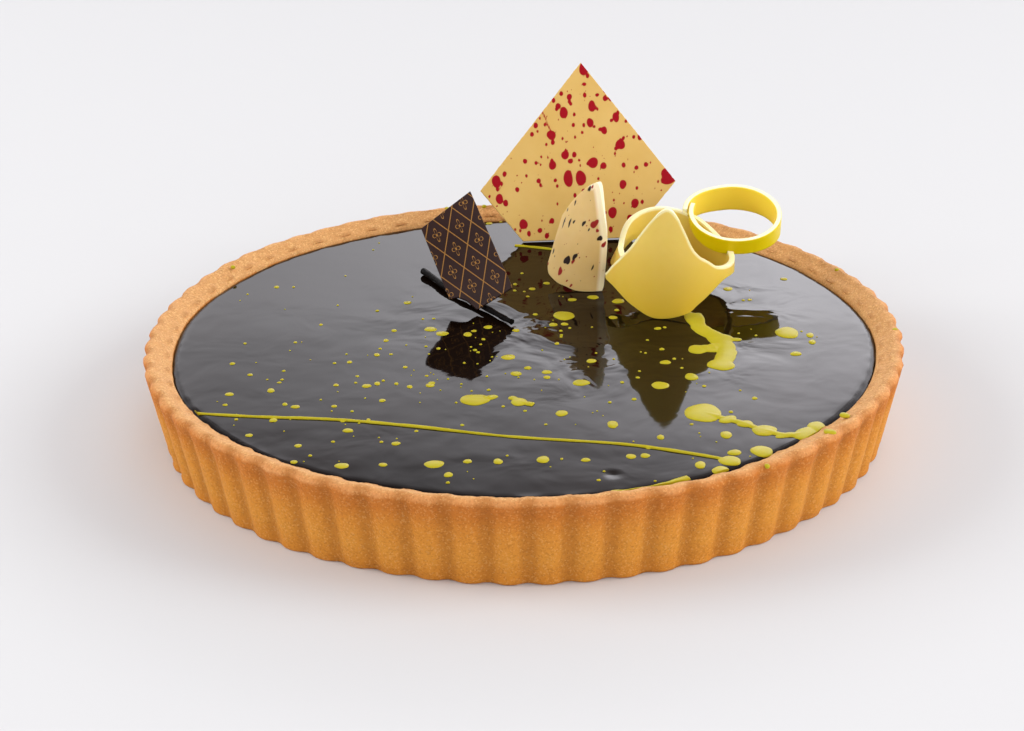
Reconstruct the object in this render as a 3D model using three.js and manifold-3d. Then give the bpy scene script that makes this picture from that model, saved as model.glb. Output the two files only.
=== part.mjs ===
// Chocolate tart: a fluted pastry case, a dark mirror-glazed filling with green cocoa-butter
// splashes, and chocolate decorations standing on it. Millimetres, +Z up, origin at the middle
// of the underside. The front of the tart faces -Y.

import * as THREE from "three";
import { mergeVertices } from "three/addons/utils/BufferGeometryUtils.js";
import Module from "manifold-3d";

const wasm = await Module();
wasm.setup();

// Driving dimensions of the case
const rimRadius = 140;
const rimHeight = 33.6;
const baseRadius = 133.7;
const flutes = 64;
const stepsPerFlute = 5;
const fluteDepthTop = 2.2;
const fluteDepthBase = 1.6;
const innerRadius = 130.2;
const floorRadius = 126.4;
const floorThickness = 4.5;
const innerSteps = 160;

// The filling and its splashes
const glazeLevel = 29.6;
const gap = 0.3;
const dropSides = 8;
const smallDrops = 52;
const drizzleWidth = 1.5;
const splashRise = 0.6;

// Decorations
const plateThickness = 2.2;
const curlThickness = 2.1;
const ringThickness = 1.9;
const plaqueThickness = 1.9;
const podThickness = 2.3;

const restLevel = glazeLevel + gap;
const degree = Math.PI / 180;
const fullTurn = 2 * Math.PI;

// Repeatable random numbers, so that the splashes fall the same way each time
function seededRandom(seed) {
  let state = seed;
  return () => {
    state = (state * 1664525 + 1013904223) % 4294967296;
    return state / 4294967296;
  };
}

// Plain geometry and solids
function closedGeometry(points, triangles) {
  const geometry = new THREE.BufferGeometry();
  const positions = points.flatMap((p) => [p.x, p.y, p.z]);
  geometry.setAttribute("position", new THREE.Float32BufferAttribute(positions, 3));
  geometry.setIndex(triangles);
  return geometry;
}

function toSolid(geometry) {
  const bare = geometry.clone();
  bare.deleteAttribute("normal");
  bare.deleteAttribute("uv");
  const merged = mergeVertices(bare, 1e-4);
  return new wasm.Manifold(new wasm.Mesh({
    numProp: 3,
    vertProperties: Float32Array.from(merged.attributes.position.array),
    triVerts: Uint32Array.from(merged.index.array),
  }));
}

function fromSolid(solid) {
  const mesh = solid.getMesh();
  const geometry = new THREE.BufferGeometry();
  geometry.setAttribute("position", new THREE.BufferAttribute(mesh.vertProperties, 3));
  geometry.setIndex(new THREE.BufferAttribute(mesh.triVerts, 1));
  return geometry;
}

function finish(color, roughness) {
  return new THREE.MeshStandardMaterial({ color, roughness, metalness: 0 });
}

function named(name, geometry, material) {
  geometry.computeVertexNormals();
  const mesh = new THREE.Mesh(geometry, material);
  mesh.name = name;
  return mesh;
}

// A closed body from a stack of rings, listed from the middle of the underside up the outside,
// over the top and in to the middle again. A ring may have a whole multiple of the next one's
// points, or the other way round.
function stackedRings(rings) {
  const points = rings.flat();
  const triangles = [];
  let start = 0;
  for (let i = 0; i + 1 < rings.length; i += 1) {
    const here = rings[i].length;
    const next = rings[i + 1].length;
    const nextStart = start + here;
    const coarse = Math.min(here, next);
    const ratio = Math.max(here, next) / coarse;
    for (let j = 0; j < Math.max(here, next); j += 1) {
      const k = Math.floor(j / ratio);
      if (here >= next) {
        triangles.push(start + j, start + ((j + 1) % here), nextStart + k);
      } else {
        triangles.push(start + k, nextStart + ((j + 1) % next), nextStart + j);
      }
    }
    for (let k = 0; k < coarse && coarse > 1; k += 1) {
      const turned = (k + 1) % coarse;
      if (here >= next) {
        triangles.push(start + ((turned * ratio) % here), nextStart + turned, nextStart + k);
      } else {
        triangles.push(start + k, start + turned, nextStart + ((turned * ratio) % next));
      }
    }
    start = nextStart;
  }
  return closedGeometry(points, triangles);
}

// The case
function rimWaver(angle) {
  return 0.5 * Math.sin(3 * angle + 1.1) + 0.3 * Math.sin(8 * angle + 0.4) + 0.2 * Math.sin(13 * angle);
}

function trimWaver(angle) {
  return 0.3 * Math.sin(5 * angle + 2.1) + 0.25 * Math.sin(11 * angle + 0.7);
}

function flutedRing(radius, height, depth, lift) {
  const steps = flutes * stepsPerFlute;
  return Array.from({ length: steps }, (_, i) => {
    const angle = (i / steps) * fullTurn;
    const crest = Math.abs(Math.sin((angle * flutes) / 2));
    const r = radius - depth * (1 - crest);
    return new THREE.Vector3(r * Math.cos(angle), r * Math.sin(angle), height + lift * rimWaver(angle));
  });
}

function smoothRing(radius, height, lift) {
  return Array.from({ length: innerSteps }, (_, i) => {
    const angle = (i / innerSteps) * fullTurn;
    const r = radius + trimWaver(angle);
    return new THREE.Vector3(r * Math.cos(angle), r * Math.sin(angle), height + lift * rimWaver(angle));
  });
}

function caseRadiusAt(height) {
  const share = (height - floorThickness) / (glazeLevel - floorThickness);
  return floorRadius + share * (innerRadius - 0.4 - floorRadius);
}

function crust() {
  const rimDepth = rimHeight - glazeLevel;
  const rings = [
    [new THREE.Vector3(0, 0, 0)],
    flutedRing(baseRadius - 0.9, 0, fluteDepthBase * 0.8, 0),
    flutedRing(baseRadius, 1.1, fluteDepthBase, 0),
    flutedRing(rimRadius, rimHeight - rimDepth * 0.5, fluteDepthTop, 0.4),
    flutedRing(rimRadius - 0.8, rimHeight - rimDepth * 0.17, fluteDepthTop * 0.6, 0.6),
    flutedRing(rimRadius - 2.8, rimHeight, fluteDepthTop * 0.2, 0.6),
    smoothRing(rimRadius - 6, rimHeight - rimDepth * 0.36, 0.6),
    smoothRing(innerRadius + 0.9, rimHeight - rimDepth * 0.74, 0.5),
    smoothRing(innerRadius, glazeLevel + 0.4, 0.2),
    smoothRing(caseRadiusAt(glazeLevel), glazeLevel - 1, 0),
    smoothRing(floorRadius, floorThickness, 0),
    [new THREE.Vector3(0, 0, floorThickness)],
  ];
  return named("crust", stackedRings(rings), finish(0xd09a54, 0.8));
}

// Splashes on the glaze, each a low dome sunk a little into it
function splash(x, y, length, width, turn = 0) {
  const rise = Math.min(splashRise, 0.28 + width * 0.05);
  const dome = new THREE.CylinderGeometry(0.36, 0.5, rise + gap, dropSides);
  dome.rotateX(Math.PI / 2);
  dome.scale(length, width, 1);
  dome.rotateZ(turn * degree);
  dome.translate(x, y, glazeLevel + (rise - gap) / 2);
  return toSolid(dome);
}

function drizzle(line, width, steps) {
  const path = new THREE.CatmullRomCurve3(line.map(([x, y]) => new THREE.Vector3(x, y, glazeLevel)));
  const section = new THREE.Shape(
    new THREE.EllipseCurve(0, 0, width / 2, width / 2, 0, fullTurn).getSpacedPoints(6).slice(0, 6),
  );
  return toSolid(new THREE.ExtrudeGeometry(section, { steps, extrudePath: path, curveSegments: 6 }));
}

// The large splashes by place: x, y, length, width, turn
const bigSplashes = [
  [61.4, -66.9, 13.8, 14.5, 0], [69.5, -72.5, 7.5, 5, 35], [75, -76.2, 6, 5.2, 0],
  [81, -81.6, 9, 8.2, 0], [88, -85.6, 8.5, 3.6, 20], [94.5, -84.5, 11, 7.5, 50], [99, -79.5, 7, 8, 0],
  [64.8, 20, 3.6, 9, 20], [67, 7.5, 7.5, 11, 25], [73, -2.5, 10.5, 11, 0], [74.4, -14.5, 8, 13, 0],
  [71.4, -26, 10, 10.5, 0], [64.2, -11.8, 7.5, 8.5, 0], [69.5, -13, 6.5, 3.2, 0], [78.6, -3.2, 5.5, 3, 0],
  [98.6, 2.3, 9.3, 10.4, 0], [-17.5, -53.3, 10.5, 9.6, 0], [-12, -51.6, 6, 3.6, 30],
  [-2, -55.6, 6.3, 6.4, 0], [-4.2, -52.2, 3.4, 3.4, 0], [78.4, -97.7, 7.6, 8.6, 0],
  [63.4, -111.5, 5.9, 6, 0], [15.8, 22.1, 8.4, 8.6, 0], [29.8, -75.2, 4.1, 5.6, 0],
  [12.6, -65.5, 4.5, 4.8, 0], [45.5, -85.9, 2.6, 4, 0], [5.5, -101.4, 4.6, 5, 0],
  [-9.4, -102.4, 3.3, 4.2, 0], [34.7, -100.2, 3.6, 3.6, 0], [39.4, -99.8, 3.3, 3.6, 0],
  [57.1, -107.4, 3.6, 5.6, 0], [69.2, -98.4, 5, 4.4, 0], [99.5, -17.3, 4.7, 3.6, 0],
  [59.8, -36.4, 5, 6, 0], [67.7, -84.7, 4.4, 5.4, 0], [106.8, -0.4, 3, 4.4, 0],
  [106.8, -6.8, 2.9, 4.2, 0], [67.1, -104.6, 8, 7, 0],
];

// The long thread of green poured across the front, and the short one at the back
const longThread = [[-117.6, -60.5], [-93.2, -64.7], [-66.6, -68], [-41.6, -73.7], [-5.7, -83.4],
  [30.9, -90.4], [53.4, -98.3], [66, -103.6]];
const frontThread = [[27, -126.2], [35, -124.9], [44, -121.6], [52.5, -116.4]];

// Clusters of small drops, denser towards the left and the front: x, y, spread, share of the drops
const clusters = [[-70, -20, 42, 0.42], [-30, -62, 50, 0.28], [60, -60, 52, 0.18], [0, 40, 60, 0.12]];

// Where the decorations stand, kept free of drops: x, y, radius
const feet = [[23, 100, 32], [27, 62, 26], [57, 40, 31], [-17, 36, 22], [-30, 58, 15], [-8, 24, 10],
  [85, 60, 18]];

function smallSplashes() {
  const random = seededRandom(11);
  const found = [];
  while (found.length < smallDrops) {
    let pick = random();
    const [cx, cy, spread] = clusters.find((c) => (pick -= c[3]) < 0) ?? clusters[0];
    const reach = spread * Math.sqrt(-2 * Math.log(1 - 0.98 * random())) * 0.75;
    const angle = random() * fullTurn;
    const x = cx + reach * Math.cos(angle);
    const y = cy + reach * Math.sin(angle);
    const size = 1.6 + 2.2 * random() ** 3;
    const clearOf = (list, radiusOf) => list.every((o) => Math.hypot(o[0] - x, o[1] - y) > radiusOf(o));
    const inside = Math.hypot(x, y) < innerRadius - 6;
    if (inside && clearOf(feet, (o) => o[2]) && clearOf(bigSplashes, (o) => o[2] / 2 + size + 1)
      && clearOf(found, (o) => o[2] + size + 1)) {
      found.push([x, y, size, size * (0.85 + 0.4 * random()), 0]);
    }
  }
  return found;
}

// The room inside the case, up to a height
function caseRoom(height) {
  return toSolid(stackedRings([
    [new THREE.Vector3(0, 0, floorThickness + gap)],
    smoothRing(floorRadius - gap, floorThickness + gap, 0),
    smoothRing(caseRadiusAt(glazeLevel) - gap, glazeLevel, 0),
    smoothRing(caseRadiusAt(glazeLevel) - gap, height, 0),
    [new THREE.Vector3(0, 0, height)],
  ]));
}

// The filling, up to the glaze, with the splashes joined to it and cut off at the rim
function filling() {
  let pool = toSolid(stackedRings([
    [new THREE.Vector3(0, 0, floorThickness + gap)],
    smoothRing(floorRadius - gap, floorThickness + gap, 0),
    smoothRing(caseRadiusAt(glazeLevel) - gap, glazeLevel, 0),
    [new THREE.Vector3(0, 0, glazeLevel)],
  ]));
  for (const one of [...bigSplashes, ...smallSplashes()]) {
    pool = pool.add(splash(...one));
  }
  pool = pool.add(drizzle(longThread, drizzleWidth, 36));
  pool = pool.add(drizzle(frontThread, drizzleWidth * 2, 8));
  return named("filling", fromSolid(pool.intersect(caseRoom(glazeLevel + 2))), finish(0x241712, 0.12));
}

// A flat piece of set chocolate with its outline standing up: it leans back and turns a little
function standingSheet(name, outline, thickness, bevel, material, lean, turn, x, y, z) {
  const shape = new THREE.Shape(outline.map(([u, v]) => new THREE.Vector2(u, v)));
  const geometry = new THREE.ExtrudeGeometry(shape, {
    depth: thickness - 2 * bevel,
    bevelEnabled: true,
    bevelThickness: bevel,
    bevelSize: bevel,
    bevelOffset: -bevel,
    bevelSegments: 1,
  });
  geometry.translate(0, 0, -thickness + bevel);
  geometry.rotateX(Math.PI / 2 - lean * degree);
  geometry.rotateZ(turn * degree);
  geometry.translate(x, y, z);
  return named(name, fromSolid(toSolid(geometry)), material);
}

function splatteredPlate() {
  const outline = [[1.2, 0], [45.4, 0], [65.4, 22.6], [27.9, 73], [-15.7, 21.5]];
  const lean = 23.7;
  const foot = plateThickness * Math.sin(lean * degree);
  const material = finish(0xdcbd7c, 0.45);
  return standingSheet("splattered_plate", outline, plateThickness, 0.3, material, lean, 3.6, 0, 100, restLevel + foot);
}

function darkPlaque() {
  const outline = [[-17.4, 0], [-3.6, 8.5], [-19.4, 47], [-38.5, 32.4], [-27.8, 4.3], [-24.5, 5],
    [-21.2, 3.6]];
  const lean = 35;
  const foot = plaqueThickness * Math.sin(lean * degree);
  const material = finish(0x2b1a14, 0.35);
  return standingSheet("dark_plaque", outline, plaqueThickness, 0.25, material, lean, 0, 0, 24.6, restLevel + foot + 0.7);
}

// A ribbon of chocolate rolled while it set. Its lower and upper edges are lines through points of
// turn (degrees from the front, to the right) and height; its radius may change with both.
function curledRibbon(lower, upper, columns, rows, thickness, radiusAt) {
  const lowerEdge = new THREE.SplineCurve(lower.map(([a, h]) => new THREE.Vector2(a, h)));
  const upperEdge = new THREE.SplineCurve(upper.map(([a, h]) => new THREE.Vector2(a, h)));
  const outside = [];
  const inside = [];
  for (let i = 0; i <= columns; i += 1) {
    const low = lowerEdge.getPoint(i / columns);
    const high = upperEdge.getPoint(i / columns);
    for (let j = 0; j <= rows; j += 1) {
      const at = low.clone().lerp(high, j / rows);
      const radius = radiusAt(at.x, at.y);
      const angle = at.x * degree;
      const place = (r) => new THREE.Vector3(r * Math.sin(angle), -r * Math.cos(angle), at.y);
      outside.push(place(radius));
      inside.push(place(radius - thickness));
    }
  }
  const points = [...outside, ...inside];
  const across = rows + 1;
  const under = outside.length;
  const triangles = [];
  const quad = (a, b, c, d) => triangles.push(a, b, c, a, c, d);
  for (let i = 0; i < columns; i += 1) {
    for (let j = 0; j < rows; j += 1) {
      const a = i * across + j;
      quad(a, a + across, a + across + 1, a + 1);
      quad(under + a, under + a + 1, under + a + across + 1, under + a + across);
    }
    const foot = i * across;
    const top = foot + rows;
    quad(foot, under + foot, under + foot + across, foot + across);
    quad(top, top + across, under + top + across, under + top);
  }
  for (let j = 0; j < rows; j += 1) {
    const last = columns * across + j;
    quad(j, j + 1, under + j + 1, under + j);
    quad(last, under + last, under + last + 1, last + 1);
  }
  return closedGeometry(points, triangles);
}

// A half-rolled leaf of white chocolate, pointed at the top and leaning right
const leafRadius = 19.8;
const leafLean = 0.347;
const leafMiddle = [26.6, 65.5];

function speckledLeaf() {
  const lower = [[-70, 7], [-62, 4.2], [-50, 2.8], [-40, 1.8], [-31, 1.4], [-16, 0.2], [-1, 0], [14, 0]];
  const upper = [[-78, 26], [-64.5, 34], [-53, 39.2], [-42, 42.8], [-33, 42], [-16, 31.5], [-1.5, 21], [14, 1.8]];
  const geometry = curledRibbon(lower, upper, 24, 4, 2.3, () => leafRadius);
  const lean = new THREE.Matrix4().set(1, 0, leafLean, 0, 0, 1, 0, 0, 0, 0, 1, 0, 0, 0, 0, 1);
  geometry.applyMatrix4(lean);
  geometry.translate(leafMiddle[0], leafMiddle[1], restLevel);
  return named("speckled_leaf", fromSolid(toSolid(geometry)), finish(0xe3cb96, 0.45));
}

// The large plain curl: one full turn and a pointed front, its inner end tucked inside
const curlRadius = 25;
const curlInnerRadius = 20;
const curlMiddle = [57.3, 41.5];

function curlRadiusAt(turn, height) {
  const tuck = THREE.MathUtils.smoothstep(turn, 190, 262);
  const flare = THREE.MathUtils.smoothstep(turn, 205, 240) * (1 - THREE.MathUtils.smoothstep(turn, 246, 272));
  const drop = THREE.MathUtils.clamp((19 - height) / 10, 0, 1);
  return curlRadius + tuck * (curlInnerRadius - curlRadius) + 4.5 * flare * drop;
}

function largeCurl() {
  const upper = [[-88, 9.8], [-75, 13], [-45, 25.1], [-7.5, 44], [17.5, 27], [32, 21.7], [47, 17.8], [78, 16],
    [118, 18], [152, 24.4], [185, 27.5], [217, 25.6], [250, 21], [285, 18.5]];
  const lower = [[-86, 8.2], [-63, 8.3], [-38, 3.6], [-16, 0], [11, 1.8], [23.6, 5.5], [48.8, 11.7], [71, 11.6],
    [90, 9.5], [125, 6.5], [180, 8], [215, 16.5], [250, 10.5], [285, 9.5]];
  const geometry = curledRibbon(lower, upper, 60, 4, curlThickness, curlRadiusAt);
  geometry.translate(curlMiddle[0], curlMiddle[1], restLevel);
  return toSolid(geometry);
}

// The narrow green and yellow ring, its overlapping ends at the left, hooked over the large curl
const ringOuterRadius = 18.2;
const ringTilt = 14;
const ringMiddle = [84.2, 62, 52.2];
const ringHalfWidth = 4.3;
const ringWiderAtBack = 1.2;

function yellowRing(grow) {
  const halfWidth = (turn) => ringHalfWidth - ringWiderAtBack * Math.cos(turn * degree);
  const turns = [-112, -85, -60, -30, 0, 40, 80, 120, 160, 200, 240, 262];
  const tip = (turn) => 1.6 * halfWidth(turn) * THREE.MathUtils.smoothstep(-turn, 25, 112);
  const lower = turns.map((turn) => [turn, -halfWidth(turn) + tip(turn) - grow]);
  const upper = turns.map((turn) => [turn, halfWidth(turn) + grow]);
  const radiusAt = (turn) => ringOuterRadius + grow + 2.4 * THREE.MathUtils.smoothstep(turn, 190, 250);
  const geometry = curledRibbon(lower, upper, 56, 1, ringThickness + 2 * grow, radiusAt);
  geometry.rotateX(ringTilt * degree);
  geometry.translate(...ringMiddle);
  return toSolid(geometry);
}

// A piece of vanilla pod lying on the glaze: a slightly bent stick with flared, cut ends
function vanillaPod() {
  const level = restLevel + podThickness / 2 + 0.15;
  const line = [[-39.1, 66.9], [-33.9, 57.5], [-28.4, 46.7], [-20.6, 36.2], [-12.9, 25.9], [-8, 18.6], [-4.1, 13.2]];
  const path = new THREE.CatmullRomCurve3(line.map(([x, y]) => new THREE.Vector3(x, y, level)));
  const steps = 22;
  const sides = 8;
  const rings = [];
  for (let i = 0; i <= steps; i += 1) {
    const share = i / steps;
    const at = path.getPointAt(share);
    const along = path.getTangentAt(share);
    const side = new THREE.Vector3(-along.y, along.x, 0);
    const flare = 1 + 0.55 * Math.abs(2 * share - 1) ** 10 + 0.1 * Math.sin(9 * share);
    const ring = Array.from({ length: sides }, (_, k) => {
      const angle = (k / sides) * fullTurn;
      return at.clone()
        .addScaledVector(side, (podThickness / 2) * flare * Math.cos(angle))
        .add(new THREE.Vector3(0, 0, (podThickness / 2) * Math.sin(angle)));
    });
    rings.push(ring);
  }
  rings.unshift([path.getPointAt(0)]);
  rings.push([path.getPointAt(1)]);
  return named("vanilla_pod", fromSolid(toSolid(stackedRings(rings))), finish(0x1a1310, 0.6));
}

const part = new THREE.Group();
part.add(crust());
part.add(filling());
part.add(splatteredPlate());
part.add(speckledLeaf());
part.add(named("large_curl", fromSolid(largeCurl().subtract(yellowRing(gap + 0.05))), finish(0xdcc878, 0.4)));
part.add(named("yellow_ring", fromSolid(yellowRing(0)), finish(0xc9b41f, 0.4)));
part.add(darkPlaque());
part.add(vanillaPod());

export default part;
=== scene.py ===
import math
import random

import bpy
import numpy as np
from mathutils import Matrix, Vector, noise


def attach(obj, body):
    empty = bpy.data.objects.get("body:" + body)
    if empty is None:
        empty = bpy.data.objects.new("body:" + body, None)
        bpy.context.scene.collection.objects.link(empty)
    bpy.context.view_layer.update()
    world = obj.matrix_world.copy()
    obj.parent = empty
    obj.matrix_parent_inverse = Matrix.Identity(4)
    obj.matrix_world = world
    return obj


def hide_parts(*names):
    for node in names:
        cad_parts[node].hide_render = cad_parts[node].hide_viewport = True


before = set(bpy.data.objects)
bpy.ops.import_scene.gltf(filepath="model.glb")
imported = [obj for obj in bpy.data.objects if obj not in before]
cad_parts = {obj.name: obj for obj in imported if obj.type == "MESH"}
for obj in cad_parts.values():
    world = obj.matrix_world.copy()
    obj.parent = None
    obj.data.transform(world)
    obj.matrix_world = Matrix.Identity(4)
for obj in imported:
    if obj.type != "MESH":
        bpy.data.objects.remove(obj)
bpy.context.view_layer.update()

# Sizes of the tart, in metres
MM = 0.001
RIM_RADIUS = 140 * MM
RIM_HEIGHT = 33.6 * MM
BASE_RADIUS = 133.7 * MM
FLUTES = 64
FLUTE_DEPTH_TOP = 2.2 * MM
FLUTE_DEPTH_BASE = 1.6 * MM
INNER_RADIUS = 130.2 * MM
FLOOR_RADIUS = 126.4 * MM
FLOOR_THICKNESS = 4.5 * MM
GLAZE_LEVEL = 29.6 * MM
GAP = 0.3 * MM
REST_LEVEL = GLAZE_LEVEL + GAP
RIM_DEPTH = RIM_HEIGHT - GLAZE_LEVEL


# Small helpers for modelling

def clear_selection():
    if bpy.context.object and bpy.context.object.mode != "OBJECT":
        bpy.ops.object.mode_set(mode="OBJECT")
    bpy.ops.object.select_all(action="DESELECT")


def pick(piece):
    clear_selection()
    piece.select_set(True)
    bpy.context.view_layer.objects.active = piece


def apply_modifier(piece, kind, **settings):
    """Adds a modifier with these settings and applies it."""
    pick(piece)
    modifier = piece.modifiers.new(kind.lower(), kind)
    for name, value in settings.items():
        setattr(modifier, name, value)
    bpy.ops.object.modifier_apply(modifier=modifier.name)


def points_of(piece):
    points = np.empty(len(piece.data.vertices) * 3)
    piece.data.vertices.foreach_get("co", points)
    return points.reshape(-1, 3)


def set_points(piece, points):
    piece.data.vertices.foreach_set("co", np.asarray(points, float).ravel())
    piece.data.update()


def smooth(piece, angle=50):
    pick(piece)
    bpy.ops.object.shade_smooth_by_angle(angle=math.radians(angle))


def tidy_mesh(piece, distance=0.00001):
    """Merges doubles and points every face outwards."""
    pick(piece)
    bpy.ops.object.mode_set(mode="EDIT")
    bpy.ops.mesh.select_all(action="SELECT")
    bpy.ops.mesh.remove_doubles(threshold=distance)
    bpy.ops.mesh.normals_make_consistent(inside=False)
    bpy.ops.object.mode_set(mode="OBJECT")


def finish_piece(piece, name, finish, slot, *replaced):
    piece.name = name
    piece.data.name = name
    piece.data.materials.clear()
    piece.data.materials.append(finish)
    if replaced:
        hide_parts(*replaced)
    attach(piece, "root")
    return piece


def smoothstep(x, low, high):
    t = np.clip((np.asarray(x, float) - low) / (high - low), 0, 1)
    return t * t * (3 - 2 * t)


def turned(profile, steps):
    """A solid of revolution from a profile of (radius, height) that starts and ends on the axis."""
    clear_selection()
    bpy.ops.mesh.primitive_circle_add(vertices=len(profile), radius=1)
    piece = bpy.context.object
    bpy.ops.object.mode_set(mode="EDIT")
    bpy.ops.mesh.select_all(action="DESELECT")
    bpy.ops.object.mode_set(mode="OBJECT")
    set_points(piece, [(r, 0, z) for r, z in profile])
    closing = [e for e in piece.data.edges if set(e.vertices) == {0, len(profile) - 1}]
    closing[0].select = True
    bpy.ops.object.mode_set(mode="EDIT")
    bpy.ops.mesh.select_mode(type="EDGE")
    bpy.ops.mesh.delete(type="EDGE")
    bpy.ops.object.mode_set(mode="OBJECT")
    apply_modifier(piece, "SCREW", steps=steps, render_steps=steps, axis="Z", use_merge_vertices=True,
                   merge_threshold=0.000001)
    tidy_mesh(piece, 0.000001)
    return piece


def along(points, spacing):
    """Points about this far apart on straight lines through the given ones."""
    out = []
    for start, end in zip(points, points[1:]):
        count = max(1, round(math.dist(start, end) / spacing))
        out += [tuple(np.array(start) + (np.array(end) - start) * i / count) for i in range(count)]
    return out + [points[-1]]


def polar(points):
    """Distance of every point from the tart's middle, and its angle round it."""
    return np.hypot(points[:, 0], points[:, 1]), np.arctan2(points[:, 1], points[:, 0])


def from_front(points):
    """Distance of every point from the middle of a roll, and its degrees from the front to the right."""
    return np.hypot(points[:, 0], points[:, 1]), np.degrees(np.arctan2(points[:, 0], -points[:, 1]))


def rotated(first, second, degrees):
    """Two coordinates turned by this much, the first towards the second."""
    c, s = math.cos(math.radians(degrees)), math.sin(math.radians(degrees))
    return c * first - s * second, s * first + c * second


def moved(piece, x, y, z):
    set_points(piece, points_of(piece) + np.array([x, y, z]) * MM)


def rounded_edges(piece, width, segments=2):
    apply_modifier(piece, "BEVEL", width=width * MM, segments=segments, limit_method="ANGLE",
                   angle_limit=math.radians(50))


def add_attribute(piece, name, values):
    layer = piece.data.attributes.new(name, "FLOAT", "POINT")
    layer.data.foreach_set("value", np.asarray(values, float))


# Wavers of the hand-trimmed rim, by the angle round the tart

def rim_waver(angle):
    return MM * (0.5 * np.sin(3 * angle + 1.1) + 0.3 * np.sin(8 * angle + 0.4) + 0.2 * np.sin(13 * angle))


def trim_waver(angle):
    return MM * (0.3 * np.sin(5 * angle + 2.1) + 0.25 * np.sin(11 * angle + 0.7))


def case_radius_at(height):
    share = (height - FLOOR_THICKNESS) / (GLAZE_LEVEL - FLOOR_THICKNESS)
    return FLOOR_RADIUS + share * (INNER_RADIUS - 0.4 * MM - FLOOR_RADIUS)


# Materials

def feed(value, socket):
    """Links a socket to another one, or sets it where the value is a number or a colour."""
    if isinstance(value, bpy.types.NodeSocket):
        socket.id_data.links.new(value, socket)
    else:
        socket.default_value = value


def set_inputs(made, values):
    for name, value in values.items():
        feed(value, made.inputs[name])


def node(tree, kind, inputs=None, **settings):
    made = tree.nodes.new(kind)
    for name, value in settings.items():
        setattr(made, name, value)
    set_inputs(made, inputs or {})
    return made


def new_finish(name):
    finish = bpy.data.materials.new(name)
    finish.use_nodes = True
    tree = finish.node_tree
    tree.nodes.clear()
    shader = node(tree, "ShaderNodeBsdfPrincipled")
    node(tree, "ShaderNodeOutputMaterial", {"Surface": shader.outputs["BSDF"]})
    return finish, tree, shader


def grey(value):
    return (value, value, value, 1)


def srgb(red, green, blue):
    """A colour given as it looks on a screen, 0 to 255, as the shader wants it."""
    def linear(c):
        c /= 255
        return c / 12.92 if c <= 0.04045 else ((c + 0.055) / 1.055) ** 2.4
    return (linear(red), linear(green), linear(blue), 1)


def ramp(tree, source, stops):
    """A colour ramp fed by source, with stops of (position, colour)."""
    made = node(tree, "ShaderNodeValToRGB", {"Fac": source})
    elements = made.color_ramp.elements
    while len(elements) > len(stops):
        elements.remove(elements[-1])
    while len(elements) < len(stops):
        elements.new(1)
    for element, (position, colour) in zip(elements, stops):
        element.position = position
        element.color = colour
    return made.outputs["Color"]


def mixed(tree, factor, first, second, blend="MIX"):
    """A mix of two colours. Each may be a colour or a socket."""
    made = node(tree, "ShaderNodeMix", {0: factor, 6: first, 7: second}, data_type="RGBA", blend_type=blend)
    return made.outputs[2]


def maths(tree, operation, first, second=0.0):
    return node(tree, "ShaderNodeMath", {0: first, 1: second}, operation=operation).outputs[0]


def stretched(tree, value, low, high, start=0.0, end=1.0):
    """A value between low and high, made to run from start to end and held there beyond them."""
    made = node(tree, "ShaderNodeMapRange", {
        "Value": value, "From Min": low, "From Max": high, "To Min": start, "To Max": end})
    return made.outputs["Result"]


def attribute(tree, name):
    return node(tree, "ShaderNodeAttribute", attribute_name=name).outputs["Fac"]


def object_place(tree):
    return node(tree, "ShaderNodeTexCoord").outputs["Object"]


def parts_of(tree, vector):
    """The X, Y and Z of a vector."""
    return node(tree, "ShaderNodeSeparateXYZ", {"Vector": vector}).outputs


def bump(tree, height, strength, distance, below=None):
    """The normal of a fine relief, over the relief below it if there is one."""
    made = node(tree, "ShaderNodeBump", {"Height": height, "Strength": strength, "Distance": distance})
    if below is not None:
        feed(below, made.inputs["Normal"])
    return made.outputs["Normal"]


def mottling_group():
    """Fine mottling shared by the finishes: a coarse and a fine noise from Object coordinates."""
    group = bpy.data.node_groups.new("Fine mottling", "ShaderNodeTree")
    for way, names in (("INPUT", ("Coarse scale", "Fine scale")), ("OUTPUT", ("Coarse", "Fine"))):
        for name in names:
            group.interface.new_socket(name, in_out=way, socket_type="NodeSocketFloat")
    entry = node(group, "NodeGroupInput")
    result = node(group, "NodeGroupOutput")
    place = object_place(group)
    for i, detail in enumerate((3, 4)):
        field = node(group, "ShaderNodeTexNoise", {
            "Vector": place, "Scale": entry.outputs[i], "Detail": detail, "Roughness": 0.6})
        feed(field.outputs["Fac"], result.inputs[i])
    return group


MOTTLING = mottling_group()


def mottling(tree, coarse, fine):
    made = node(tree, "ShaderNodeGroup", {"Coarse scale": coarse, "Fine scale": fine}, node_tree=MOTTLING)
    return made.outputs["Coarse"], made.outputs["Fine"]


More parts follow.
